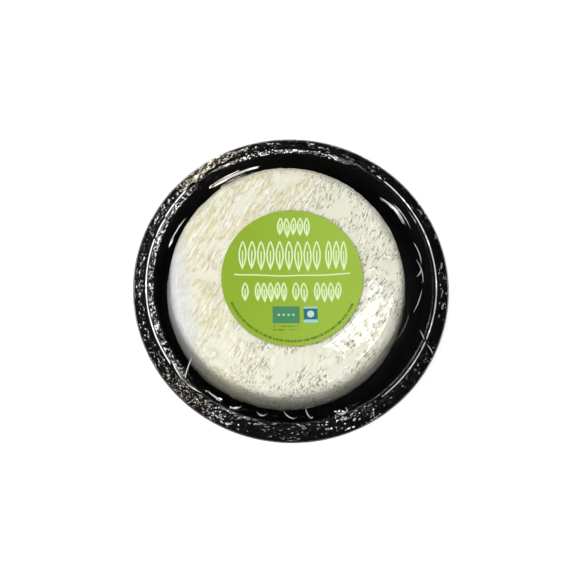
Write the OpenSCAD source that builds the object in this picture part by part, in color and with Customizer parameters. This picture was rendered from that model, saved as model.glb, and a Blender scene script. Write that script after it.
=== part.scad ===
// A small camembert for the oven, sold in its own round dish.
// The cheese stands in the dish, a clear film is shrunk over both and tucked
// under the base, and a round sticker lies on the film.
// The origin is on the dish's axis, at the surface that the pack stands on.

/* [Cheese] */
// Diameter of the cheese at its widest
cheese_d = 87; // [80:1:110]
// Height of the cheese
cheese_h = 24.5; // [20:0.5:40]
// Radius that rounds its top edge
cheese_round = 5; // [3:0.5:9]
// Radius that rounds its bottom edge
cheese_foot = 4; // [2:0.5:8]
// How much wider the soft cheese has spread at its foot than at its top edge
cheese_slump = 0.6; // [0:0.1:3]
// How much the side bulges between the rounded edges
cheese_belly = 0.4; // [0:0.1:2]
// How far the rind strays from a true circle
cheese_uneven = 0.5; // [0:0.1:1.2]
// How far the top sinks towards its edge on the low side
cheese_sag = 1.2; // [0:0.1:2]
// How far the cheese stands off the dish's axis, towards -X
cheese_shift = 1.7; // [0:0.1:2.5]

/* [Dish] */
// Room between the cheese and the foot of the dish's wall
side_room = 2.2; // [1.6:0.2:7.6]
// Depth of the dish, from its crest down to its floor
dish_depth = 16; // [9:0.5:18]
// Lean of the wall, in degrees from upright
wall_lean = 20; // [10:1:35]
// Thickness of the dish
dish_t = 0.8; // [0.5:0.1:0.9]
// Radius that rounds the corner between floor and wall
floor_round = 4; // [2:0.5:6]
// Width of the rim, from the crest to its outer edge
rim_w = 4.6; // [3.6:0.2:8]
// How far the rim falls from the crest to its outer edge
rim_drop = 3.4; // [1:0.2:5]
// Height of the upright lip at the rim's outer edge
lip_h = 1.6; // [1.2:0.1:3]

/* [Film] */
// Thickness of the film
film_t = 0.2; // [0.1:0.05:0.4]
// Clearance between the film and what it wraps
film_gap = 0.15; // [0.12:0.01:0.3]
// Diameter of the hole that the film's hem leaves under the base
hem_d = 52; // [20:1:70]

/* [Sticker] */
// Diameter of the sticker
label_d = 50; // [30:1:60]
// Thickness of the sticker
label_t = 0.15; // [0.1:0.05:0.3]

/* [Hidden] */

// Facets round each lofted piece, and steps in each rounded edge
around = 72;
arc_steps = 5;
// Clearance between the sticker and the film
label_gap = 0.05;
// Radii that round the rim's crest and its outer corner, outside
crest_round = 1;
lip_round = 1.2;

// Heights
base_z = film_t + film_gap;
floor_z = base_z + dish_t;
crest_z = floor_z + dish_depth;
lip_z = crest_z - rim_drop;
top_z = floor_z + cheese_h;
film_top_z = top_z + film_gap + film_t;

// Radii
cheese_r = cheese_d / 2 - cheese_uneven;
floor_r = cheese_d / 2 + side_room;
crest_r = floor_r + dish_depth * tan(wall_lean);
rim_r = crest_r + rim_w;
flat_r = label_d / 2 + cheese_shift + 1;

function ease(t) = let (u = min(max(t, 0), 1)) u * u * (3 - 2 * u);
function unit(v) = v / norm(v);
function turn(a) = [cos(a), sin(a)];
function angle_of(v) = atan2(v.y, v.x);
function reversed(list) = [for (i = [len(list) - 1:-1:0]) list[i]];

// The arc of radius r that rounds the corner q on the way from p to s
function corner_arc(p, q, s, r) =
    let (
        u = unit(p - q),
        v = unit(s - q),
        half = acos(u * v) / 2,
        centre = q + unit(u + v) * r / sin(half),
        from = angle_of(q + u * r / tan(half) - centre),
        swing = angle_of(q + v * r / tan(half) - centre) - from,
        by = swing > 180 ? swing - 360 : swing < -180 ? swing + 360 : swing
    )
    [for (i = [0:arc_steps]) centre + r * turn(from + by * i / arc_steps)];

// The centre of that arc
function corner_centre(p, q, s, r) =
    let (u = unit(p - q), v = unit(s - q))
    q + unit(u + v) * r / sin(acos(u * v) / 2);

// A path moved to its right by d
function moved_right(path, d) =
    let (last = len(path) - 1)
    [for (i = [0:last])
        let (along = unit(path[min(i + 1, last)] - path[max(i - 1, 0)]))
        path[i] + d * [along.y, -along.x]];

// The direction that a film faces where it is stretched from a round of centre
// p and radius pr to one of centre q and radius qr
function stretched(p, pr, q, qr) = angle_of(q - p) + acos((pr - qr) / norm(q - p));

// Points on a round of centre c and radius r, from angle a to angle b
function round_points(c, r, a, b, steps) =
    [for (i = [0:steps]) c + r * turn(a + (b - a) * i / steps)];

// The dish's upper face, from the axis out to the end of the lip
axis_point = [0, floor_z];
floor_corner = [floor_r, floor_z];
crest_corner = [crest_r, crest_z];
rim_corner = [rim_r, lip_z];
lip_end = [rim_r, lip_z - lip_h];
dish_face = concat(
    [axis_point],
    corner_arc(axis_point, floor_corner, crest_corner, floor_round),
    corner_arc(floor_corner, crest_corner, rim_corner, crest_round),
    corner_arc(crest_corner, rim_corner, lip_end, lip_round),
    [lip_end]
);
floor_centre = corner_centre(axis_point, floor_corner, crest_corner, floor_round);
crest_centre = corner_centre(floor_corner, crest_corner, rim_corner, crest_round);
lip_centre = corner_centre(crest_corner, rim_corner, lip_end, lip_round);
rim_facing = angle_of(rim_corner - crest_corner) + 90;
under_facing = stretched(lip_end, 0, floor_centre, floor_round + dish_t);

// The cheese: how its outline and its top vary round the axis
function outline(a) = cheese_r + cheese_uneven * (0.6 * sin(2 * a - 90) + 0.4 * sin(3 * a + 180));
function edge_sag(a) = cheese_sag * (0.5 + 0.3 * sin(a + 210) + 0.2 * sin(3 * a + 20));
function edge_centre(a) = outline(a) - cheese_slump - cheese_round;
function top_at(r, a) = top_z - edge_sag(a) * ease((r - flat_r) / (edge_centre(a) - flat_r));
function top_centre(a) = [edge_centre(a), top_at(edge_centre(a), a) - cheese_round];

// Where the top's rings lie, from the middle of the flat part to the rounded edge
function top_rings(a) = [
    for (share = [0.5, 1]) flat_r * share,
    for (share = [0.35, 0.7]) flat_r + (edge_centre(a) - flat_r) * share
];

// The cheese's profile at angle a, from its underside to its top
function cheese_profile(a) =
    let (
        foot = [outline(a) - cheese_foot, floor_z + cheese_foot],
        crown = top_centre(a),
        middle = (foot + [cheese_foot, 0] + crown + [cheese_round, 0]) / 2
    )
    concat(
        [[foot.x / 2, floor_z]],
        round_points(foot, cheese_foot, -90, 0, arc_steps),
        [middle + [cheese_belly, 0]],
        round_points(crown, cheese_round, 0, 90, arc_steps),
        reversed([for (r = top_rings(a)) [r, top_at(r, a)]])
    );

// The film's profile at angle a and distance d from what it wraps. Its first
// part follows the cheese, and the rest the dish.
function film_on_cheese(a, d) =
    let (facing = film_facing(a))
    concat(
        [for (r = top_rings(a)) [r, top_at(r, a) + d]],
        round_points(top_centre(a), cheese_round + d, 90, facing, arc_steps - 1)
    );
function film_on_dish(a, d) = concat(
    round_points(crest_centre, crest_round + d, film_facing(a), rim_facing, 1),
    round_points(lip_centre, lip_round + d, rim_facing, 0, 3),
    round_points(lip_end, d, 0, under_facing, 1),
    round_points(floor_centre, floor_round + dish_t + d, under_facing, -90, 3),
    [[hem_d / 2, base_z - d]]
);
function film_facing(a) =
    let (beyond = [cheese_shift * -cos(a), 0])
    stretched(top_centre(a) + beyond, cheese_round, crest_centre, crest_round);

// A point of a profile turned to angle a, about an axis moved by -shift in X
function placed(p, a, shift) = [p.x * cos(a) - shift, p.x * sin(a), p.y];

// A closed skin over profiles that all have as many points, between two poles
module loft(profiles, first_pole, last_pole) {
    rows = len(profiles[0]);
    count = len(profiles);
    points = concat([first_pole], [for (p = profiles) each p], [last_pole]);
    function at(i, row) = 1 + (i % count) * rows + row;
    end = len(points) - 1;
    polyhedron(points, [
        for (i = [0:count - 1]) each concat(
            [[0, at(i, 0), at(i + 1, 0)]],
            [for (row = [0:rows - 2])
                each [[at(i, row), at(i, row + 1), at(i + 1, row + 1)],
                      [at(i, row), at(i + 1, row + 1), at(i + 1, row)]]],
            [[end, at(i + 1, rows - 1), at(i, rows - 1)]]
        )
    ]);
}

module dish() {
    color([0.03, 0.03, 0.035])
        rotate_extrude($fn = 180)
            polygon(concat(dish_face, reversed(moved_right(dish_face, dish_t))));
}

module cheese() {
    color([0.93, 0.91, 0.84])
        loft(
            [for (i = [0:around - 1])
                let (a = 360 * i / around)
                [for (p = cheese_profile(a)) placed(p, a, cheese_shift)]],
            [-cheese_shift, 0, floor_z],
            [-cheese_shift, 0, top_z]
        );
}

// The two faces of the film at angle a: the inner one from the middle of the
// top to the hem, and the outer one back again
function film_ring(a) =
    let (
        inner = film_gap,
        outer = film_gap + film_t,
        on_cheese = function(d) [for (p = film_on_cheese(a, d)) placed(p, a, cheese_shift)],
        on_dish = function(d) [for (p = film_on_dish(a, d)) placed(p, a, 0)]
    )
    concat(
        on_cheese(inner),
        on_dish(inner),
        reversed(on_dish(outer)),
        reversed(on_cheese(outer))
    );

module film() {
    color([0.8, 0.85, 0.9], 0.3)
        loft(
            [for (i = [0:around - 1]) film_ring(360 * i / around)],
            [-cheese_shift, 0, top_z + film_gap],
            [-cheese_shift, 0, film_top_z]
        );
}

module label() {
    color([0.55, 0.72, 0.2])
        translate([0, 0, film_top_z + label_gap])
            cylinder(d = label_d, h = label_t, $fn = 120);
}

dish();
cheese();
film();
label();
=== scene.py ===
"""A small camembert for the oven, sealed with its own black dish under clear film."""

import math

import bpy
import numpy as np
from mathutils import Matrix, Vector


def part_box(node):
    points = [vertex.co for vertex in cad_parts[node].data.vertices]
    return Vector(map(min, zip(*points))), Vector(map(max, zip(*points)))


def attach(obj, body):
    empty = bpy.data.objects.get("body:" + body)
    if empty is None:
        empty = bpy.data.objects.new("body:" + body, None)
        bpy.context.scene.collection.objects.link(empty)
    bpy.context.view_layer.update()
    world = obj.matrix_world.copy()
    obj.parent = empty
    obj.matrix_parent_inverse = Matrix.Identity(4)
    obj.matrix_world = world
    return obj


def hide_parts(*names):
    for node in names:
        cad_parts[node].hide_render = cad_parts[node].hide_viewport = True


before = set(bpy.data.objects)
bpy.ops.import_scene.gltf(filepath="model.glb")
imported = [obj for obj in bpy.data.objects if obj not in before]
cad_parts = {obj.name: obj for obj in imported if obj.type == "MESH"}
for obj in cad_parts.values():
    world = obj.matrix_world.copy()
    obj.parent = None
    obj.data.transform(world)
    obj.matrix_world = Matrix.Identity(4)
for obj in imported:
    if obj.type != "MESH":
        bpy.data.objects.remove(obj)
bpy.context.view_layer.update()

MM = 0.001
UPRIGHT = math.pi / 2
# A spot inside the pack, which every outward face looks away from
INSIDE = Vector((0, 0, 0.01))


# ---------------------------------------------------------------- measures (mm)

def box_mm(node):
    """A node's lowest and highest corners, in millimetres."""
    low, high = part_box(node)
    return np.array(low) / MM, np.array(high) / MM


def ring_mm(node, pick):
    """Radius and height of a turned node's points, at the one that pick names."""
    points = np.array([v.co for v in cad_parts[node].data.vertices]) / MM
    radius = np.hypot(points[:, 0], points[:, 1])
    at = pick(radius, points[:, 2])
    return float(radius[at]), float(points[at, 2])


cheese_low, cheese_high = box_mm("cheese")
label_low, label_high = box_mm("label")

# How far the film's outer face stands off what it wraps, which is how high it lifts the dish
FILM_OFF = box_mm("dish")[0][2]
FLOOR_Z = cheese_low[2]
CHEESE_TOP = cheese_high[2]
# Radius and height of the rim's crest and of its lip
CREST = ring_mm("dish", lambda r, z: np.argmax(z))
LIP = ring_mm("dish", lambda r, z: np.argmax(r))
LABEL_R = (label_high[0] - label_low[0]) / 2
LABEL_X = (label_low[0] + label_high[0]) / 2
LABEL_Y = (label_low[1] + label_high[1]) / 2

# The cheese, as its solid is shaped
CHEESE_D = 87.0
CHEESE_ROUND = 5.0
CHEESE_FOOT = 4.0
CHEESE_SLUMP = 0.6
CHEESE_BELLY = 0.4
CHEESE_UNEVEN = 0.5
CHEESE_SAG = 1.2
CHEESE_SHIFT = 1.7
CHEESE_R = CHEESE_D / 2 - CHEESE_UNEVEN
# Radius within which its top is level
FLAT_R = LABEL_R + CHEESE_SHIFT + 1

# The dish: its rounds at crest, lip and floor, its thickness, its lip's height, its wall's lean
# and the room beside the cheese
CREST_ROUND = 1.0
LIP_ROUND = 1.2
FLOOR_ROUND = 4.0
DISH_T = 0.8
LIP_H = 1.6
WALL_LEAN = math.radians(20)
SIDE_ROOM = 2.2
# The round under the dish's edge, and the radius at which it meets the flat base
FOOT_ROUND = FLOOR_ROUND + DISH_T
FOOT_R = CHEESE_D / 2 + SIDE_ROOM - FLOOR_ROUND * math.tan(UPRIGHT / 2 - WALL_LEAN / 2)
# Radius of the hole that the film's hem leaves under the base
HEM_R = 26.0

# How far the film leans from level on the narrow strip just inside the crest
CREST_LEAN = math.radians(19)
# The lean at which it mirrors the ring of small lamps
LIT_LEAN = CREST_LEAN + math.radians(1)


def turn(angle):
    """The level direction at an angle from +X."""
    return np.stack([np.cos(angle), np.sin(angle)], -1)


def ease(t):
    """0 below 0 to 1 above 1, with a smooth start and end."""
    t = np.clip(t, 0, 1)
    return t * t * (3 - 2 * t)


def outline(a):
    """Radius of the cheese's foot at angle a, in radians."""
    return CHEESE_R + CHEESE_UNEVEN * (
        0.6 * np.sin(2 * a - UPRIGHT) + 0.4 * np.sin(3 * a + math.pi)
    )


def edge_sag(a):
    """How far the top has sunk at the cheese's edge."""
    return CHEESE_SAG * (
        0.5 + 0.3 * np.sin(a + math.radians(210)) + 0.2 * np.sin(3 * a + math.radians(20))
    )


def edge_centre(a):
    """Radius of the centre of the rounded top edge."""
    return outline(a) - CHEESE_SLUMP - CHEESE_ROUND


def top_at(r, a):
    """Height of the cheese's top."""
    return CHEESE_TOP - edge_sag(a) * ease((r - FLAT_R) / (edge_centre(a) - FLAT_R))


def top_centre(a):
    """Radius and height of the centre of the cheese's rounded top edge."""
    return edge_centre(a), top_at(edge_centre(a), a) - CHEESE_ROUND


# ---------------------------------------------------------------- noise

# Large odd numbers that stir a cell's place into a number that looks like chance
CELL_STIR = (374761393, 668265263, 1440662683)
FIRST_STIR, SECOND_STIR = 1274126177, 2246822519
LOW_BITS = 0xFFFFFFFF


def lattice(cell, seed):
    """A repeatable number from -1 to 1 for each whole-number cell."""
    mixed = sum(cell[..., k] * CELL_STIR[k] for k in range(3))
    mixed = (mixed + seed * FIRST_STIR) & LOW_BITS
    mixed = ((mixed ^ (mixed >> 13)) * FIRST_STIR) & LOW_BITS
    mixed = ((mixed ^ (mixed >> 16)) * SECOND_STIR) & LOW_BITS
    return (mixed >> 8) / float(1 << 23) - 1


# Keeps every cell's number above 0
GRAIN_START = 1000


def grain(points, size, seed):
    """Smooth noise from -1 to 1 at points, with bumps of about that size."""
    scaled = np.asarray(points) / size + GRAIN_START
    base = np.floor(scaled).astype(np.int64)
    part = scaled - base
    part = part * part * part * (part * (part * 6 - 15) + 10)
    total = 0
    for corner in range(8):
        step = np.array([corner & 1, corner >> 1 & 1, corner >> 2 & 1])
        weight = np.prod(np.where(step, part, 1 - part), axis=-1)
        total = total + weight * lattice(base + step, seed)
    return total


def creases(points, size, seed):
    """Noise with sharp valleys, from 0 in a crease to about 1, as in crushed film."""
    return np.abs(grain(points, size, seed)) + 0.5 * np.abs(grain(points, size * 0.47, seed + 9))


# ---------------------------------------------------------------- modelling

# Points nearer than this, in metres, are one
SAME_PLACE = 1e-6


def alone(piece=None):
    """Leaves only this piece selected, or nothing."""
    bpy.ops.object.select_all(action="DESELECT")
    if piece:
        piece.select_set(True)
        bpy.context.view_layer.objects.active = piece


def spun(name, grid):
    """A piece turned on the Z axis from the grid's first column. Its points then go to the
    grid's places, in mm: a row for each point of the path, a column for each step round."""
    steps = grid.shape[1]
    alone()
    bpy.ops.mesh.primitive_plane_add(size=MM, location=(0, 0, 0))
    piece = bpy.context.object
    piece.name = piece.data.name = name
    bpy.ops.object.mode_set(mode="EDIT")
    bpy.ops.mesh.select_all(action="SELECT")
    bpy.ops.mesh.merge(type="CENTER")
    path = grid[:, 0] * MM
    bpy.ops.transform.translate(value=path[0].tolist())
    for move in np.diff(path, axis=0).tolist():
        bpy.ops.mesh.extrude_region_move(TRANSFORM_OT_translate={"value": move})
    bpy.ops.object.mode_set(mode="OBJECT")
    made = np.array([v.co for v in piece.data.vertices])
    row = np.argmin(np.linalg.norm(made[:, None] - path, axis=-1), axis=1)
    modify(
        piece, "SCREW", angle=2 * math.pi, steps=steps, render_steps=steps,
        use_merge_vertices=False,
    )
    places = np.ascontiguousarray(grid[row].transpose(1, 0, 2)) * MM
    piece.data.vertices.foreach_set("co", places.ravel())
    bpy.ops.object.mode_set(mode="EDIT")
    bpy.ops.mesh.select_all(action="SELECT")
    bpy.ops.mesh.remove_doubles(threshold=SAME_PLACE)
    bpy.ops.mesh.normals_make_consistent(inside=False)
    bpy.ops.object.mode_set(mode="OBJECT")
    if sum(face.normal.dot(face.center - INSIDE) for face in piece.data.polygons) < 0:
        piece.data.flip_normals()
    return piece


def angles(steps):
    """Even steps round the axis."""
    return 2 * math.pi * np.arange(steps) / steps


def grid_of(r, z, angle, shift=0.0):
    """Points of a grid of radii and heights round an axis that lies shift towards -X."""
    return np.stack([r * np.cos(angle) - shift, r * np.sin(angle), z + 0 * r], -1)


def facing_of(grid):
    """The outward direction at each point of a grid whose path starts at the top."""
    along = np.gradient(grid, axis=0)
    around = np.roll(grid, -1, axis=1) - np.roll(grid, 1, axis=1)
    out = np.cross(along, around)
    return out / np.maximum(np.linalg.norm(out, axis=-1, keepdims=True), 1e-9)


def modify(piece, kind, **settings):
    """Adds a modifier, sets it and applies it."""
    alone(piece)
    modifier = piece.modifiers.new(kind.title(), kind)
    for key, value in settings.items():
        setattr(modifier, key, value)
    bpy.ops.object.modifier_apply(modifier=modifier.name)


def smooth(piece, degrees=180):
    """Shades a piece smoothly, but for edges sharper than that."""
    alone(piece)
    bpy.ops.object.shade_smooth_by_angle(angle=math.radians(degrees))


# ---------------------------------------------------------------- shader maths

class Value:
    """A shader value that Python's operators work on."""

    def __init__(self, finish, socket):
        self.finish = finish
        self.socket = socket

    def maths(self, operation, *others):
        """The result of a Math node."""
        return self.finish.node(
            "ShaderNodeMath", {"operation": operation}, dict(enumerate((self,) + others))
        )

    def __add__(self, other): return self.maths("ADD", other)
    def __radd__(self, other): return self.maths("ADD", other)
    def __sub__(self, other): return self.maths("SUBTRACT", other)
    def __rsub__(self, other): return (self * -1) + other
    def __mul__(self, other): return self.maths("MULTIPLY", other)
    def __rmul__(self, other): return self.maths("MULTIPLY", other)
    def __truediv__(self, other): return self.maths("DIVIDE", other)
    def __pow__(self, other): return self.maths("POWER", other)
    def __neg__(self): return self * -1
    def __abs__(self): return self.maths("ABSOLUTE")
    def __lt__(self, other): return self.maths("LESS_THAN", other)
    def __gt__(self, other): return self.maths("GREATER_THAN", other)
    def most(self, other): return self.maths("MAXIMUM", other)
    def floor(self): return self.maths("FLOOR")
    def root(self): return self.maths("SQRT")
    def sine(self): return self.maths("SINE")

    def fade(self, start, end):
        """0 at start to 1 at end, eased."""
        return self.finish.node(
            "ShaderNodeMapRange",
            {"interpolation_type": "SMOOTHSTEP"},
            {"Value": self, "From Min": start, "From Max": end},
        )


class Finish:
    """One material's node tree, with a single method that adds any node."""

    def __init__(self, name):
        self.material = bpy.data.materials.new(name)
        self.material.use_nodes = True
        self.tree = self.material.node_tree
        self.tree.nodes.clear()

    def node(self, kind, settings=None, inputs=None, output=0):
        """Adds a node and gives one of its outputs."""
        made = self.tree.nodes.new(kind)
        for key, value in (settings or {}).items():
            setattr(made, key, value)
        for key, value in (inputs or {}).items():
            if isinstance(value, Value):
                self.tree.links.new(value.socket, made.inputs[key])
            else:
                made.inputs[key].default_value = value
        return Value(self, made.outputs[output]) if len(made.outputs) else None

    def place(self):
        """Where on the piece, in mm, as X, Y and Z values and one vector."""
        spot = self.node("ShaderNodeTexCoord", output="Object")
        spot = self.node(
            "ShaderNodeVectorMath", {"operation": "SCALE"}, {0: spot, "Scale": 1 / MM}
        )
        return [
            self.node("ShaderNodeSeparateXYZ", {}, {0: spot}, output=k) for k in range(3)
        ] + [spot]

    def stretched(self, spot, angle, along, across):
        """Coordinates turned by angle about Z and scaled for marks of that length and width."""
        return self.node(
            "ShaderNodeMapping",
            {"vector_type": "TEXTURE"},
            {"Vector": spot, "Rotation": (0, 0, angle), "Scale": (along, across, across)},
        )

    def vector(self, operation, first, second, third=None, output=0):
        """Vector maths on two or three vectors."""
        inputs = {0: first, 1: second}
        if third is not None:
            inputs[2] = third
        return self.node("ShaderNodeVectorMath", {"operation": operation}, inputs, output)

    def noise(self, spot, size=1.0, detail=2.0, roughness=0.5, output="Fac"):
        """Cloudy noise from 0 to 1, with patches of about that size."""
        return self.node(
            "ShaderNodeTexNoise",
            {},
            {"Vector": spot, "Scale": 1 / size, "Detail": detail, "Roughness": roughness},
            output=output,
        )

    def joined(self, x, y=0.0, z=0.0):
        """A vector from three values."""
        return self.node("ShaderNodeCombineXYZ", {}, {0: x, 1: y, 2: z})

    def mix(self, share, first, second):
        """A colour from first to second by share."""
        made = self.tree.nodes.new("ShaderNodeMix")
        made.data_type = "RGBA"
        for number, value in ((0, share), (6, first), (7, second)):
            if isinstance(value, Value):
                self.tree.links.new(value.socket, made.inputs[number])
            else:
                made.inputs[number].default_value = value if number == 0 else (*value, 1)
        return Value(self, made.outputs[2])

    def bump(self, height, distance, strength=1.0):
        """A normal that shows height times distance, in metres, as relief."""
        return self.node(
            "ShaderNodeBump", {}, {"Height": height, "Distance": distance, "Strength": strength}
        )

    def principled(self, **inputs):
        """A Principled shader with those sockets, given in lower case."""
        named = {}
        for key, value in inputs.items():
            socket = key.replace("_", " ").title().replace("Ior", "IOR")
            named[socket] = (*value, 1) if isinstance(value, tuple) else value
        return self.node("ShaderNodeBsdfPrincipled", {}, named)

    def done(self, surface):
        """Closes the tree with this surface."""
        self.node("ShaderNodeOutputMaterial", {}, {"Surface": surface})
        return self.material


def cover(piece, material):
    """Gives a piece one material."""
    piece.data.materials.clear()
    piece.data.materials.append(material)


# ---------------------------------------------------------------- finishes

# The dish's two blacks
SOOT, BLUE_SOOT = (0.0115, 0.0115, 0.0115), (0.0145, 0.0146, 0.0160)

# The rind's colours, and how far its strokes slant from +X
IVORY, WARM_IVORY, PRESSED_IVORY = (0.82, 0.815, 0.69), (0.80, 0.775, 0.60), (0.77, 0.765, 0.63)
CREAM, STRAW, DARK_STRAW = (0.76, 0.71, 0.50), (0.70, 0.63, 0.37), (0.60, 0.57, 0.42)
# The third colour on the next line is painted light: the bluish white that cool light lays on the
# cheese's left side
CHALK, BRIGHT_CHALK, PAINTED_COOL_LIGHT = (0.92, 0.92, 0.87), (0.95, 0.95, 0.91), (0.72, 0.735, 0.745)
GREY_GREEN = (0.30, 0.305, 0.22)
FIBRE_SLANT, HAIR_SLANT, DASH_SLANT = math.radians(57), math.radians(60), math.radians(62)
PRESSED_SLANT = math.radians(20)


def dish_finish():
    """Black ovenable plastic, satin, with faint marks of its forming."""
    f = Finish("black ovenable plastic")
    *_, spot = f.place()
    cloud = f.noise(spot, 9, 3)
    fine = f.noise(spot, 0.35, 2)
    colour = f.mix(cloud.fade(0.4, 0.7), SOOT, BLUE_SOOT)
    return f.done(f.principled(
        base_color=colour,
        roughness=0.3 + cloud * 0.16,
        specular_ior_level=0.2,
        normal=f.bump(fine, 0.02 * MM, 0.35),
    ))


def rind_finish():
    """White bloomy rind: ivory, brushed with slanting strokes that show cream and grey, and
    painted cool light along its left edge.
    """
    f = Finish("bloomy rind")
    x, y, _, spot = f.place()
    drift = f.noise(spot, 12, 1, output="Color")
    drift = f.vector("SUBTRACT", drift, (0.5, 0.5, 0.5))
    bent = f.vector("MULTIPLY_ADD", drift, (3.2, 3.2, 1.5), spot)
    left = (x - y * 0.35).fade(12, -22)
    fibres = f.noise(f.stretched(bent, FIBRE_SLANT, 8, 0.95), 1, 2, 0.5)
    hairs = f.noise(f.stretched(bent, HAIR_SLANT, 5, 0.42), 1, 2, 0.6)
    dashes = f.noise(f.stretched(bent, DASH_SLANT, 1.9, 0.5), 1, 1, 0.5)
    crowd = f.noise(spot, 5.5, 1)
    pressed = f.noise(f.stretched(spot, PRESSED_SLANT, 12, 7), 1, 1).fade(0.57, 0.63)
    cloud = f.noise(spot, 10, 2)
    marks = dashes.fade(0.55, 0.62) * crowd.fade(0.32, 0.45) * (1 - pressed)
    # Painted light: a bluish-white band towards the cheese's left edge, where cool light falls on
    # its side
    painted_left_light = (x + y * 0.15).fade(-33, -41)
    colour = f.mix(left, IVORY, WARM_IVORY)
    for share, tint in (
        (cloud.fade(0.42, 0.68) * 0.45, CREAM),
        (fibres.fade(0.52, 0.62) * (0.25 + 0.6 * left), STRAW),
        (fibres.fade(0.47, 0.38) * (0.35 + 0.35 * left), CHALK),
        (hairs.fade(0.56, 0.68) * 0.55, DARK_STRAW),
        (hairs.fade(0.42, 0.32) * 0.55, BRIGHT_CHALK),
        (marks * (0.9 - 0.6 * left), GREY_GREEN),
        (pressed * 0.75, PRESSED_IVORY),
        (painted_left_light * 0.75, PAINTED_COOL_LIGHT),
    ):
        colour = f.mix(share, colour, tint)
    fuzz = f.noise(spot, 0.3, 2)
    height = fuzz * 0.10 - marks * 0.35 + (fibres * 0.8 + hairs * 0.35) * (1 - pressed * 0.8)
    return f.done(f.principled(
        base_color=colour,
        roughness=0.8,
        normal=f.bump(height, 0.5 * MM, 0.7),
    ))


# Zones of the film, as the radii (mm) at which each starts to show and is whole
OUTSIDE_STARTS, OUTSIDE_ENDS = (52.15, 52.5), (56.2, 55.7)
INSIDE_STARTS, INSIDE_ENDS = (47.9, 49.4), (51.25, 50.95)
LAYERS_START, BRIGHT_STARTS = (42, 45.5), (48, 50.5)
# Heights (mm) between which the film turns from the base's to the top's
TOP_STARTS = (9.0, 11.5)
# How closely the film has to face the ring of lamps to be bright, as cosines
FACING_LAMPS = (0.990, 0.998)


def film_finish():
    """Clear film that only mirrors: little head on, more aslant, and most in its creases."""
    f = Finish("clear shrink film")
    x, y, z, spot = f.place()
    radius = (x * x + y * y).root()

    def towards(bearing, whole, none):
        """1 within whole degrees of a bearing, which fades to 0 at none degrees."""
        a = math.radians(bearing)
        share = (x * math.cos(a) + y * math.sin(a)) / radius
        return share.fade(math.cos(math.radians(none)), math.cos(math.radians(whole)))

    def curls(size, width, seed):
        """Thin lines that wander and break off, as creases in crushed film do."""
        place = f.vector("ADD", spot, (seed, -seed, 0.0))
        other = f.vector("ADD", spot, (seed, 40.0, 0.0))
        line = abs(f.noise(place, size, 1) - 0.5).fade(width, width * 0.5)
        return line * f.noise(other, size * 0.55, 1).fade(0.5, 0.56)

    def fold_line(start, end, bow, half):
        """1 on the line of a single fold, which thins out towards its ends."""
        way, out, length = fold_ways(start, end)
        along = ((x - start[0]) * way[0] + (y - start[1]) * way[1]) / length
        across = (x - start[0]) * out[0] + (y - start[1]) * out[1]
        bend = along * (1 - along) * 4
        return (bend * half * 0.55 - abs(across - bend * bow)).fade(-0.04, 0.12)

    # Creases crowd outside the crest, less so on two quiet sides, and in combs inside it
    quiet = (towards(25, 40, 75) * 0.6).most(towards(297, 38, 62) * 0.4)
    outside = radius.fade(*OUTSIDE_STARTS) * radius.fade(*OUTSIDE_ENDS) * (0.9 - quiet)
    comb = towards(178, 42, 62).most(towards(92, 22, 40)).most(towards(272, 18, 34) * 0.7)
    inside = radius.fade(*INSIDE_STARTS) * radius.fade(*INSIDE_ENDS) * comb
    crease = curls(1.9, 0.075, 3.0).most(curls(1.2, 0.07, 17.0)) * (outside + inside)
    for fold in FOLDS:
        crease = crease.most(fold_line(*fold))
    crease = crease * z.fade(*TOP_STARTS)

    # In a crease the film turns to the lean that mirrors the ring of lamps
    level, upright = math.sin(LIT_LEAN), math.cos(LIT_LEAN)
    lit = f.joined(x / radius * level, y / radius * level, upright)
    normal = f.bump(f.noise(spot, 3.4, 1) * 0.08, MM, 1.0)
    normal = f.vector("MULTIPLY_ADD", f.vector("SUBTRACT", lit, normal), crease, normal)
    away = f.node(
        "ShaderNodeLayerWeight", {}, {"Blend": 0.5, "Normal": normal}, output="Facing"
    )
    bright = f.vector("DOT_PRODUCT", normal, lit, output="Value").fade(*FACING_LAMPS)
    layers = radius.fade(*LAYERS_START)
    head_on = 0.045 + layers * (0.16 + bright * (0.35 + 0.3 * radius.fade(*BRIGHT_STARTS)))
    mirrored_share = head_on + (1 - head_on) * away ** 5
    clear = f.node("ShaderNodeBsdfTransparent", {}, {"Color": (1, 1, 1, 1)})
    gloss = f.node(
        "ShaderNodeBsdfGlossy", {}, {"Color": (1, 1, 1, 1), "Roughness": 0.05, "Normal": normal}
    )
    return f.done(f.node("ShaderNodeMixShader", {}, {0: mirrored_share, 1: clear, 2: gloss}))


# The sticker's rows of leaves: left and right end, number, middle's height, half a leaf's length
LEAF_ROWS = (
    (-5.3, 6.5, 5, 18.9, 3.5),
    (-19.1, 10.4, 9, 8.3, 5.6),
    (11.6, 19.6, 3, 8.3, 5.6),
    (-18.0, -15.2, 1, -5.0, 3.5),
    (-13.3, -1.8, 5, -5.0, 3.5),
    (-0.2, 5.6, 2, -5.0, 3.5),
    (7.5, 17.4, 4, -5.0, 3.5),
)
# The width of their lines
LEAF_LINE = 0.55
# Its panels: left, right, lower and upper edge, and colour
PANELS = (
    (-7.0, 2.5, -16.7, -10.5, (0.06, 0.22, 0.10)),
    (3.9, 8.8, -16.4, -10.7, (0.30, 0.56, 0.56)),
    (3.9, 8.8, -15.3, -11.3, (0.03, 0.14, 0.16)),
)
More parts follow.
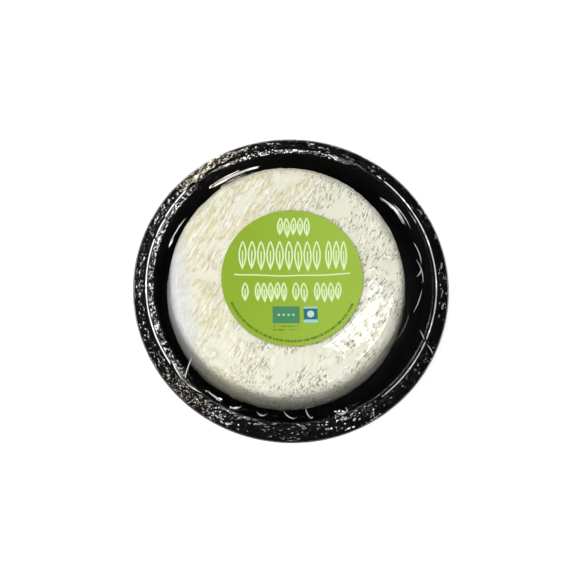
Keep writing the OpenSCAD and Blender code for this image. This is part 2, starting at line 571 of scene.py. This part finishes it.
# The dots on them: middle, radius, strength and colour
MINT, PALE_MINT = (0.35, 0.68, 0.48), (0.6, 0.78, 0.72)
DOTS = (
    (-4.785, -13.6, 0.45, 0.8, MINT),
    (-3.095, -13.6, 0.45, 0.8, MINT),
    (-1.405, -13.6, 0.45, 0.8, MINT),
    (0.285, -13.6, 0.45, 0.8, MINT),
    (6.35, -13.3, 1.25, 0.75, PALE_MINT),
)
# The sticker's green, and the lighter green of painted light on its right side
LEAF_GREEN, PAINTED_LIT_GREEN = (0.230, 0.350, 0.019), (0.305, 0.4475, 0.054)
PALE_GREEN, DARK_GREEN = (0.66, 0.79, 0.47), (0.05, 0.10, 0.01)


def leaf_row(f, x, y, left, right, count, middle, half):
    """A row of drawn leaves: count of them between left and right, each an outline with a vein."""
    pitch = (right - left) / count
    place_in_row = (x - left) / pitch
    number = place_in_row.floor()
    within = (x > left) * (x < right)
    chance = f.node(
        "ShaderNodeTexWhiteNoise", {"noise_dimensions": "1D"}, {"W": number + middle * 7.3}
    )
    along = (y - middle + (chance - 0.5) * half * 0.16) / (half * (0.86 + 0.12 * chance))
    across = (place_in_row - number - 0.5) * pitch + (chance - 0.5) * 0.35 * along
    width = pitch * 0.36 * (1 - along * along).most(0)
    edge = (abs(abs(across) - width) < LEAF_LINE / 2) * (abs(along) < 1)
    vein = (abs(across) < LEAF_LINE * 0.42) * (along > -1.08) * (along < 0.3)
    return edge.most(vein) * within


def label_finish():
    """Green sticker with drawn leaves and a line in pale green, plain panels and rows of marks."""
    f = Finish("printed sticker")
    x, y, _, spot = f.place()
    x = x - LABEL_X
    y = y - LABEL_Y
    cloud = f.noise(spot, 16, 2)
    # Painted shade and light: the green darkens towards the sticker's left and lightens towards
    # its right, as light falls across it, with a quarter of random cloudy tone
    colour = f.mix(x.fade(-22, 24) * 0.75 + cloud * 0.25, LEAF_GREEN, PAINTED_LIT_GREEN)
    line = abs(y - 0.75 - 0.0016 * (x + 2) * (x + 2) - (x * 0.4).sine() * 0.08)
    drawn = (line < 0.24) * (abs(x) < 20.5)
    for row in LEAF_ROWS:
        drawn = drawn.most(leaf_row(f, x, y, *row))
    colour = f.mix(drawn * 0.9, colour, PALE_GREEN)
    for left, right, low, high, tint in PANELS:
        panel = (x > left) * (x < right) * (y > low) * (y < high)
        colour = f.mix(panel, colour, tint)
    for across, up, size, strength, tint in DOTS:
        dot = ((x - across) ** 2 + (y - up) ** 2).root() < size
        colour = f.mix(dot * strength, colour, tint)
    marks = f.noise(f.joined(x * 2.1, y * 0.8), 1, 1) > 0.5
    small = (abs(abs(y + 18.4) - 0.65) < 0.28) * (x > -7) * (x < 2) * marks
    colour = f.mix(small * 0.7, colour, DARK_GREEN)
    radius = (x * x + y * y).root()
    bearing = x.maths("ARCTAN2", -y)
    beads = f.noise(f.joined(bearing * 40), 1, 1) > 0.46
    circle = (abs(radius - 23.2) < 0.42) * (bearing > -1.19) * (bearing < 1.15) * beads
    colour = f.mix(circle * 0.75, colour, DARK_GREEN)
    return f.done(f.principled(
        base_color=colour,
        roughness=0.5,
        specular_ior_level=0.3,
        normal=f.bump(f.noise(spot, 3.5, 2), 0.1 * MM, 0.3),
    ))


# ---------------------------------------------------------------- cheese

# How far the strokes in the rind slant from +X
BRUSH_SLANT = math.radians(58)
# The rind lies this far below the solid's surface, less its relief, and so stays inside it
RIND_SINK = 0.36
CHEESE_STEPS = 760
# Shares of the way from the middle of the top to its rounded edge at which its rings lie
TOP_RINGS = (0, 0.25, 0.45, 0.6, *np.linspace(0.62, 1, 32))


def rind_relief(points):
    """How far the rind stands out at points in mm: brushed strokes and soft hollows."""
    along, across = turn(BRUSH_SLANT), turn(BRUSH_SLANT + UPRIGHT)
    drift = np.stack([grain(points, 12, 61), grain(points, 12, 62)], -1) * 3
    flat = points[..., :2] + drift
    brushed = np.stack([flat @ along / 5, flat @ across, points[..., 2]], -1)
    return 0.13 * grain(brushed, 1.15, 3) + 0.20 * grain(points, 5, 5) + 0.10 * grain(points, 2, 6)


def arc(centre, radius, start, end, count):
    """Radii and heights along a round, for one angle or many."""
    share = np.linspace(0, 1, count)[:, None]
    a = start + (end - start) * share
    return centre[0] + radius * np.cos(a), centre[1] + radius * np.sin(a)


def make_cheese():
    """The whole cheese with its rind's relief."""
    angle = angles(CHEESE_STEPS)
    crown = top_centre(angle)
    foot = (outline(angle) - CHEESE_FOOT, FLOOR_Z + CHEESE_FOOT + 0 * angle)
    radii = [share * crown[0] for share in TOP_RINGS]
    heights = [top_at(r, angle) for r in radii]
    edge_r, edge_z = arc(crown, CHEESE_ROUND, UPRIGHT, 0, 20)
    foot_r, foot_z = arc(foot, CHEESE_FOOT, 0, -UPRIGHT, 12)
    side_r, side_z = [], []
    for share in np.linspace(0, 1, 24)[1:-1]:
        belly = CHEESE_BELLY * math.sin(math.pi * share)
        side_r.append(edge_r[-1] + (foot_r[0] - edge_r[-1]) * share + belly)
        side_z.append(edge_z[-1] + (foot_z[0] - edge_z[-1]) * share)
    radii = np.concatenate([radii, edge_r[1:], side_r, foot_r, [foot_r[-1] * 0.5, 0 * angle]])
    heights = np.concatenate([heights, edge_z[1:], side_z, foot_z, [foot_z[-1], foot_z[-1]]])
    grid = grid_of(radii, heights, angle, CHEESE_SHIFT)
    bare = np.clip((heights - FLOOR_Z) / 2, 0, 1)
    grid = grid + facing_of(grid) * ((rind_relief(grid) - RIND_SINK) * bare)[..., None]
    piece = spun("rind", grid)
    smooth(piece)
    return piece


# ---------------------------------------------------------------- film

FILM_THICK = 0.05
FILM_STEPS, UNDER_STEPS = 840, 720
# How many rows inside the crest belong to the piece over the rim
RIM_ROWS_INSIDE = 14

# Single folds in the film: where each starts and ends (X and Y in mm), how far it bows out
# and half its width
FOLDS = (
    ((-29.5, 34.0), (-9.5, 43.2), 1.2, 0.85),
    ((-25.5, 33.6), (-11.0, 40.6), 1.0, 0.5),
    ((-44.2, 11.5), (-36.5, 24.5), 0.8, 0.5),
    ((-44.0, 11.8), (-41.5, 16.5), 0.0, 0.4),
    ((-48.5, 17.0), (-44.5, 25.5), 0.4, 0.5),
    ((31.0, 31.8), (41.0, 20.8), 1.6, 0.95),
    ((35.5, 30.5), (43.0, 19.0), 1.2, 0.45),
    ((43.0, 15.5), (46.2, 6.0), 1.0, 0.5),
    ((46.2, 6.0), (44.0, 1.5), 0.6, 0.5),
    ((43.5, 9.5), (46.4, -1.5), 1.4, 0.45),
    ((46.4, -1.5), (42.2, -12.5), 0.6, 0.45),
    ((41.6, -10.5), (34.0, -24.5), 1.3, 0.4),
    ((47.0, -21.0), (45.0, -17.0), 0.2, 0.5),
    ((47.4, -21.5), (50.4, -25.5), 0.3, 0.5),
    ((-37.9, -35.3), (-34.8, -27.0), 0.4, 0.55),
    ((-37.9, -35.3), (-42.4, -28.0), 0.4, 0.55),
    ((-37.9, -35.3), (-31.0, -40.0), 0.5, 0.45),
    ((-30.5, -38.5), (-24.0, -43.0), 0.5, 0.45),
    ((-13.0, -46.2), (-8.5, -47.2), 1.4, 0.5),
    ((-3.5, -46.3), (1.5, -49.2), 1.0, 0.5),
    ((4.5, -45.2), (7.0, -49.5), 0.8, 0.55),
    ((14.5, -46.8), (19.5, -45.8), 1.2, 0.5),
    ((-22.5, -44.6), (-17.5, -44.4), 1.0, 0.5),
)

# The share of its length in which a fold rises and dies out, and the round on its top
FOLD_END = 0.12
FOLD_TOP = 0.1


def taut(p, pr, q, qr):
    """The direction that film faces where it is stretched from one round to the next."""
    dx, dz = q[0] - p[0], q[1] - p[1]
    return np.arctan2(dz, dx) + np.arccos(np.clip((pr - qr) / np.hypot(dx, dz), -1, 1))


def even(count):
    """Shares of a way at which count points divide it evenly, without its two ends."""
    return np.linspace(0, 1, count + 2)[1:-1]


# Where the film's rows lie on the top, from there to the crest and on to the lip, as shares of
# each way: close together near the crest
FLAT_ROWS = np.concatenate([[0, 0.35, 0.6], np.linspace(0.66, 1, 9)])
CONE_ROWS = np.concatenate([np.linspace(0, 0.74, 27)[1:], np.linspace(0.75, 1, 24)[:-1]])
FLANK_ROWS = np.concatenate([np.linspace(0, 0.18, 7)[1:], np.linspace(0.2, 1, 17)[1:-1]])


def between(start, end, shares):
    """Points at those shares of the straight way from start to end."""
    share = np.asarray(shares)[:, None]
    return start[0] + (end[0] - start[0]) * share, start[1] + (end[1] - start[1]) * share


def film_over_path(angle):
    """Radii and heights of the film's outer face, from the middle of the top to the lip's end,
    and the number of the row from which on it is the rim's."""
    beyond = CHEESE_SHIFT * -np.cos(angle)
    rim = edge_centre(angle)
    crown = (rim + beyond, top_centre(angle)[1])
    crest = (CREST[0] + 0 * angle, CREST[1] - CREST_ROUND + 0 * angle)
    lip = (LIP[0] - LIP_ROUND + 0 * angle, LIP[1] + 0 * angle)
    facing = taut(crown, CHEESE_ROUND, crest, CREST_ROUND)
    over = taut(crest, CREST_ROUND, lip, LIP_ROUND)
    flat = (
        np.array([share * (rim + beyond) for share in FLAT_ROWS]),
        np.array([top_at(share * rim, angle) + FILM_OFF for share in FLAT_ROWS]),
    )
    edge = arc(crown, CHEESE_ROUND + FILM_OFF, UPRIGHT, facing, 7)
    bend = arc(crest, CREST_ROUND + FILM_OFF, facing, over, 3)
    bend = bend[0][1:2], bend[1][1:2]
    corner = arc(lip, LIP_ROUND + FILM_OFF, over, 0 * angle, 5)
    inner = between((edge[0][-1], edge[1][-1]), (bend[0][0], bend[1][0]), CONE_ROWS)
    outer = between((bend[0][-1], bend[1][-1]), (corner[0][0], corner[1][0]), FLANK_ROWS)
    parts = [flat, (edge[0][1:], edge[1][1:]), inner, bend, outer, corner]
    first_of_rim = sum(len(r) for r, z in parts[:3]) - RIM_ROWS_INSIDE
    r, z = (np.concatenate([part[k] for part in parts]) for k in range(2))
    return r, z, first_of_rim


def near(angle, middle, half):
    """1 within half degrees of a bearing, eased to 0 at twice as far."""
    off = np.abs((np.degrees(angle) - middle + 180) % 360 - 180)
    return ease(2 - off / half)


def cone_slope(angle):
    """How steeply the taut film falls from the cheese's edge to the crest."""
    crown = (edge_centre(angle) - CHEESE_SHIFT * np.cos(angle), top_centre(angle)[1])
    crest = (CREST[0], CREST[1] - CREST_ROUND)
    return 1 / np.tan(taut(crown, CHEESE_ROUND, crest, CREST_ROUND))


def fold_ways(start, end):
    """A fold's direction, the direction away from the axis across it, and its length."""
    way = np.subtract(end, start)
    length = np.hypot(*way)
    way = way / length
    out = np.array([way[1], -way[0]])
    return way, out * np.sign(np.dot(start, out)), length


def fold_rise(points):
    """How far the single folds lift the film: two flat sides that meet in a line, of which the
    inner one leans so that it mirrors the ring of lamps."""
    lift = 0
    flat = points[..., :2]
    for start, end, bow, half in FOLDS:
        way, out, length = fold_ways(start, end)
        along = (flat - start) @ way / length
        across = (flat - start) @ out - 4 * bow * along * (1 - along)
        ends = ease(along / FOLD_END) * ease((1 - along) / FOLD_END)
        roof = np.clip(half + FOLD_TOP - np.hypot(across, FOLD_TOP), 0, None)
        lift = np.maximum(lift, roof * ends)
    lean = np.arctan(cone_slope(np.arctan2(flat[..., 1], flat[..., 0])))
    return lift * np.tan(lean - LIT_LEAN) / np.cos(lean)


# Where the combs of pleats lie: bearing, half width in degrees, and strength
COMBS = ((202, 9, 1.0), (168, 8, 0.8), (150, 14, 0.6), (-62, 18, 0.6))


def film_rise(points):
    """How far the film over the cheese and the rim stands off its taut place, in mm."""
    radius = np.hypot(points[..., 0], points[..., 1])
    angle = np.arctan2(points[..., 1], points[..., 0])
    past = radius - CREST[0]
    far_side = near(angle, 92, 24)
    near_side = near(angle, -92, 24)

    # A narrow ridge along the crest, and crushed film from there to the lip
    ridge = np.clip(past + 0.6, 0, 0.65) * (cone_slope(angle) - math.tan(CREST_LEAN)) * 0.9
    ridge = ridge * (1 - ease(past / 1.7)) + 0.004 * grain(points, 2.6, 14)
    starts = 0.5 - 2.8 * far_side - 2.0 * near_side
    rim = ease((past - starts) / 0.9)
    lip = ease((LIP[0] + FILM_OFF - radius) / 1.2)
    crushed = creases(points, 1.7, 11) - 0.4 + 0.3 * grain(points, 3.4, 12)
    crush = rim * lip * 0.3 * (1 - 0.4 * near(angle, 124, 14)) * crushed
    rise = ridge * (1 - 0.85 * far_side) * (1 - 0.6 * near_side) + crush

    # Combs of small pleats inside the crest
    comb = sum(share * near(angle, middle, half) for middle, half, share in COMBS)
    comb = comb * np.exp(-((past + 2.6) / 1.1) ** 2)
    pleats = grain(np.stack([angle * CREST[0], radius * 0.25, 0 * angle], -1), 0.85, 31)
    rise = rise + comb * 0.1 * np.clip(pleats, -0.2, 1)

    # Slow waves over the bare cheese, none under the label, and the single folds
    under_label = ease((radius - LABEL_R - 0.5) / 4)
    bare_top = under_label * ease((41 - radius) / 5)
    wave = 0.16 * grain(points, 6, 21) + 0.05 * grain(points, 2.2, 22)
    rise = rise + bare_top * (wave - 0.16)
    rise = rise + 0.02 * grain(points, 7, 23) * under_label
    return rise + fold_rise(points) * ease((LIP[0] - 1 - radius) / 2)


def thin(piece):
    """Gives a sheet its thickness, inwards, and smooths it."""
    modify(piece, "SOLIDIFY", thickness=FILM_THICK * MM, offset=-1)
    smooth(piece)


def make_film_over():
    """The film over the cheese, and the film over the dish's rim, out to the lip's end."""
    angle = angles(FILM_STEPS)
    r, z, first = film_over_path(angle)
    grid = grid_of(r, z, angle)
    grid = grid + facing_of(grid) * film_rise(grid)[..., None]
    outside = np.hypot(grid[..., 0], grid[..., 1])
    most = LIP[0] + FILM_OFF
    grid[..., :2] *= np.minimum(1, most / np.maximum(outside, 1e-6))[..., None]
    pieces = spun("film_over_cheese", grid[:first + 1]), spun("film_over_rim", grid[first:])
    for piece in pieces:
        thin(piece)
    return pieces


def make_film_under():
    """The film below the rim: drawn in under the dish to a crumpled hem."""
    angle = angles(UNDER_STEPS)
    start = (LIP[0] + FILM_OFF, LIP[1])
    end = (LIP[0] + FILM_OFF, LIP[1] - LIP_H + 0.65)
    foot = (FOOT_R, FOOT_ROUND + FILM_OFF)
    facing = float(taut(end, 0.0, foot, FOOT_ROUND + FILM_OFF))
    curl = arc(foot, FOOT_ROUND + FILM_OFF, facing, -UPRIGHT, 9)
    parts = [
        ([[start[0]]], [[start[1]]]),
        between(start, end, even(3)),
        ([[end[0]]], [[end[1]]]),
        between(end, (curl[0][0], curl[1][0]), even(20)),
        curl,
        between((curl[0][-1], curl[1][-1]), (HEM_R, 0.0), even(14)),
        ([[HEM_R]], [[0.0]]),
    ]
    r = np.concatenate([np.asarray(r, float) for r, z in parts]) + 0 * angle
    z = np.concatenate([np.asarray(z, float) for r, z in parts]) + 0 * angle
    grid = grid_of(r, z, angle)

    # Pleats where it hangs free between the lip and the base
    slack = np.sin(math.pi * np.clip((r - FOOT_R - 2) / (LIP[0] - FOOT_R - 2), 0, 1))
    around = np.stack([np.cos(angle) * 50 + 0 * r, np.sin(angle) * 50 + 0 * r, r * 0.15], -1)
    pleats = np.minimum(grain(around, 2.6, 41), 0.3) + 0.4 * creases(grid, 2.2, 42)
    rise = slack * (0.75 * pleats - 0.75)
    grid = grid + facing_of(grid) * rise[..., None]

    # A wandering hem, and crumples under the base
    tucked = ease((FOOT_R - 1 - r) / 6)
    hem = HEM_R + 1.3 * grain(grid_of(HEM_R, 0 * angle, angle), 5, 43)
    pulled = np.clip((FOOT_R - r) / (FOOT_R - HEM_R), 0, 1)
    scale = 1 + pulled * (np.maximum(hem, HEM_R) / HEM_R - 1)
    grid[..., :2] *= scale[..., None]
    grid[..., 2] += tucked * 0.16 * np.abs(grain(around * [1, 1, 3], 1.6, 44))
    piece = spun("film_under", grid)
    thin(piece)
    return piece


# ---------------------------------------------------------------- label

LABEL_BEVEL = 0.05
LABEL_RINGS = 24
LABEL_STEPS = 240


def make_label():
    """The round sticker, with its edge bevelled."""
    low, high = label_low[2], label_high[2]
    inner = LABEL_R - LABEL_BEVEL
    rings = [LABEL_R * k / LABEL_RINGS for k in range(LABEL_RINGS)]
    path = [(r, high) for r in rings]
    path += [(inner, high), (LABEL_R, high - LABEL_BEVEL)]
    path += [(LABEL_R, low + LABEL_BEVEL), (inner, low)]
    path += [(r, low) for r in reversed(rings)]
    angle = angles(LABEL_STEPS)
    r = np.array([[point[0]] for point in path]) + 0 * angle
    z = np.array([[point[1]] for point in path])
    piece = spun("sticker", grid_of(r, z, angle))
    smooth(piece, 40)
    return piece


# ---------------------------------------------------------------- the pack

cheese = make_cheese()
cover(cheese, rind_finish())
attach(cheese, "root")
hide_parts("cheese")

clear_film = film_finish()
for film in (*make_film_over(), make_film_under()):
    cover(film, clear_film)
    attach(film, "root")
    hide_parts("film")

label = make_label()
cover(label, label_finish())
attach(label, "root")
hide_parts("label")

cover(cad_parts["dish"], dish_finish())


# ---------------------------------------------------------------- stage

# The camera's height, bearing and roll
VIEW_HEIGHT, VIEW_BEARING, VIEW_ROLL = math.radians(73.4), math.radians(-6), math.radians(5.7)
TO_CAMERA = Vector((
    math.sin(VIEW_BEARING) * math.cos(VIEW_HEIGHT),
    -math.cos(VIEW_BEARING) * math.cos(VIEW_HEIGHT),
    math.sin(VIEW_HEIGHT),
))

# The lens and the sensor's width, in mm, how wide the view is at the pack, and how far away
# the camera stands, in metres
LENS, SENSOR = 150, 36
VIEW_WIDTH = 209.2857 * MM
CAMERA_FAR = VIEW_WIDTH * LENS / SENSOR
# What the camera looks at, in mm, and how far that is moved to its right and down
AIM, AIM_RIGHT, AIM_DOWN = Vector((0, 0, 13.75)), 0.63, 1.85

FLOOR_SIZE = 6
# The lamps that light the pack: name, bearing and height in degrees, size and radiance
SOFT_LAMPS = (
    ("key", 110, 66, 0.5, 7.0),
    ("fill", 228, 56, 0.6, 4.8),
    ("front", 255, 38, 0.5, 3.0),
)
# The ring of small lamps that shows in film of LIT_LEAN: each one's size and radiance, and how
# many degrees of bearing lie between them
RING_SIZE, RING_RADIANCE, RING_STEP = (0.23, 0.07), 0.9, 18
WARM, BEIGE = (1, 0.95, 0.88), (1, 0.88, 0.68)
# Lamps that show in steeper or flatter film: lean, bearing, size, radiance, colour
GLINTS = (
    *((46, bearing, (0.07, 0.07), 5, WARM) for bearing in range(0, 360, 30)),
    (24, -120, (0.08, 0.08), 3, (1, 1, 1)),
    (24, -70, (0.08, 0.08), 3, (1, 1, 1)),
    (39, 126, (0.3, 0.13), 5, BEIGE),
    (39, 224, (0.2, 0.09), 3, BEIGE),
)
LAMP_FAR, GLINT_FAR = 1.0, 0.9


def make_floor():
    """A pale floor that doesn't show in the film."""
    alone()
    bpy.ops.mesh.primitive_plane_add(size=FLOOR_SIZE, location=(0, 0, 0))
    floor = bpy.context.object
    floor.name = "floor"
    f = Finish("pale floor")
    cover(floor, f.done(f.principled(
        base_color=(0.2, 0.2, 0.2), roughness=0.9,
        emission_color=(1, 1, 1), emission_strength=0.9,
    )))
    floor.visible_glossy = False


def lamp(name, way, size, radiance, colour=(1, 1, 1), glint=False, level=Vector((1, 0, 0)),
         distance=LAMP_FAR, spot=Vector((0, 0, 0))):
    """A lamp that faces a spot from that way, with its first side along level. A glint shows
    in gloss alone, and the rest light the pack without showing in it."""
    data = bpy.data.lights.new(name, "AREA")
    data.shape = "RECTANGLE"
    data.size, data.size_y = size
    data.energy = radiance * math.pi * size[0] * size[1]
    data.color = colour
    made = bpy.data.objects.new(name, data)
    bpy.context.scene.collection.objects.link(made)
    second = way.cross(level).normalized()
    made.matrix_world = Matrix((
        (*second.cross(way), 0), (*second, 0), (*way, 0), (0, 0, 0, 1),
    )).transposed()
    made.location = spot + way * distance
    made.visible_camera = False
    made.visible_diffuse = not glint
    made.visible_glossy = glint


def way_of(bearing, height):
    """The direction at a bearing and a height in degrees."""
    a, e = math.radians(bearing), math.radians(height)
    return Vector((math.cos(a) * math.cos(e), math.sin(a) * math.cos(e), math.sin(e)))


def mirrored(lean, bearing, radius):
    """A spot on the film at that radius and bearing, and the way in which the camera looks on
    from there, if the film leans that far from level."""
    spot = way_of(bearing, 0) * radius * MM + Vector((0, 0, CREST[1] * MM))
    film_faces = way_of(bearing, 90 - lean)
    to_camera = (TO_CAMERA * CAMERA_FAR - spot).normalized()
    return spot, 2 * film_faces.dot(to_camera) * film_faces - to_camera


def glint(lean, bearing, size, radiance, colour=(1, 1, 1), radius=CREST[0]):
    """A lamp that shows in film of that lean, with its first side along the bearings."""
    spot, way = mirrored(lean, bearing, radius)
    level = mirrored(lean, bearing + 2, radius)[1] - mirrored(lean, bearing - 2, radius)[1]
    lamp("glint", way, size, radiance, colour, True, level, GLINT_FAR, spot)


def make_lights():
    """A dim sky, soft lamps for the pack and small ones for the film."""
    world = bpy.data.worlds.new("studio")
    bpy.context.scene.world = world
    world.use_nodes = True
    sky = world.node_tree.nodes["Background"]
    sky.inputs["Color"].default_value = (0.92, 0.94, 1, 1)
    sky.inputs["Strength"].default_value = 0.2
    world.cycles_visibility.glossy = False
    for name, bearing, height, size, radiance in SOFT_LAMPS:
        lamp(name, way_of(bearing, height), (size, size), radiance)
    for bearing in range(-45, 315, RING_STEP):
        a = math.radians(bearing)
        upper_left = 1 - 0.3 * math.cos(a) + 0.3 * math.sin(a)
        glint(math.degrees(LIT_LEAN), bearing, RING_SIZE, RING_RADIANCE * upper_left)
    for lean, bearing, size, radiance, colour in GLINTS:
        glint(lean, bearing, size, radiance, colour)
    glint(8, -35, (0.2, 0.2), 4, radius=0)


def make_camera():
    """A camera that looks down on the pack."""
    level = TO_CAMERA.to_track_quat("Z", "Y").to_matrix().to_4x4()
    rotation = level @ Matrix.Rotation(VIEW_ROLL, 4, "Z")
    right, up = rotation.col[0].to_3d(), rotation.col[1].to_3d()
    aim = (AIM + right * AIM_RIGHT - up * AIM_DOWN) * MM
    data = bpy.data.cameras.new("camera")
    data.lens, data.sensor_width = LENS, SENSOR
    data.clip_start, data.clip_end = 0.01, 20
    camera = bpy.data.objects.new("camera", data)
    bpy.context.scene.collection.objects.link(camera)
    camera.matrix_world = Matrix.Translation(aim + TO_CAMERA * CAMERA_FAR) @ rotation
    bpy.context.scene.camera = camera


make_floor()
make_lights()
make_camera()
bpy.context.scene.view_settings.view_transform = "Standard"
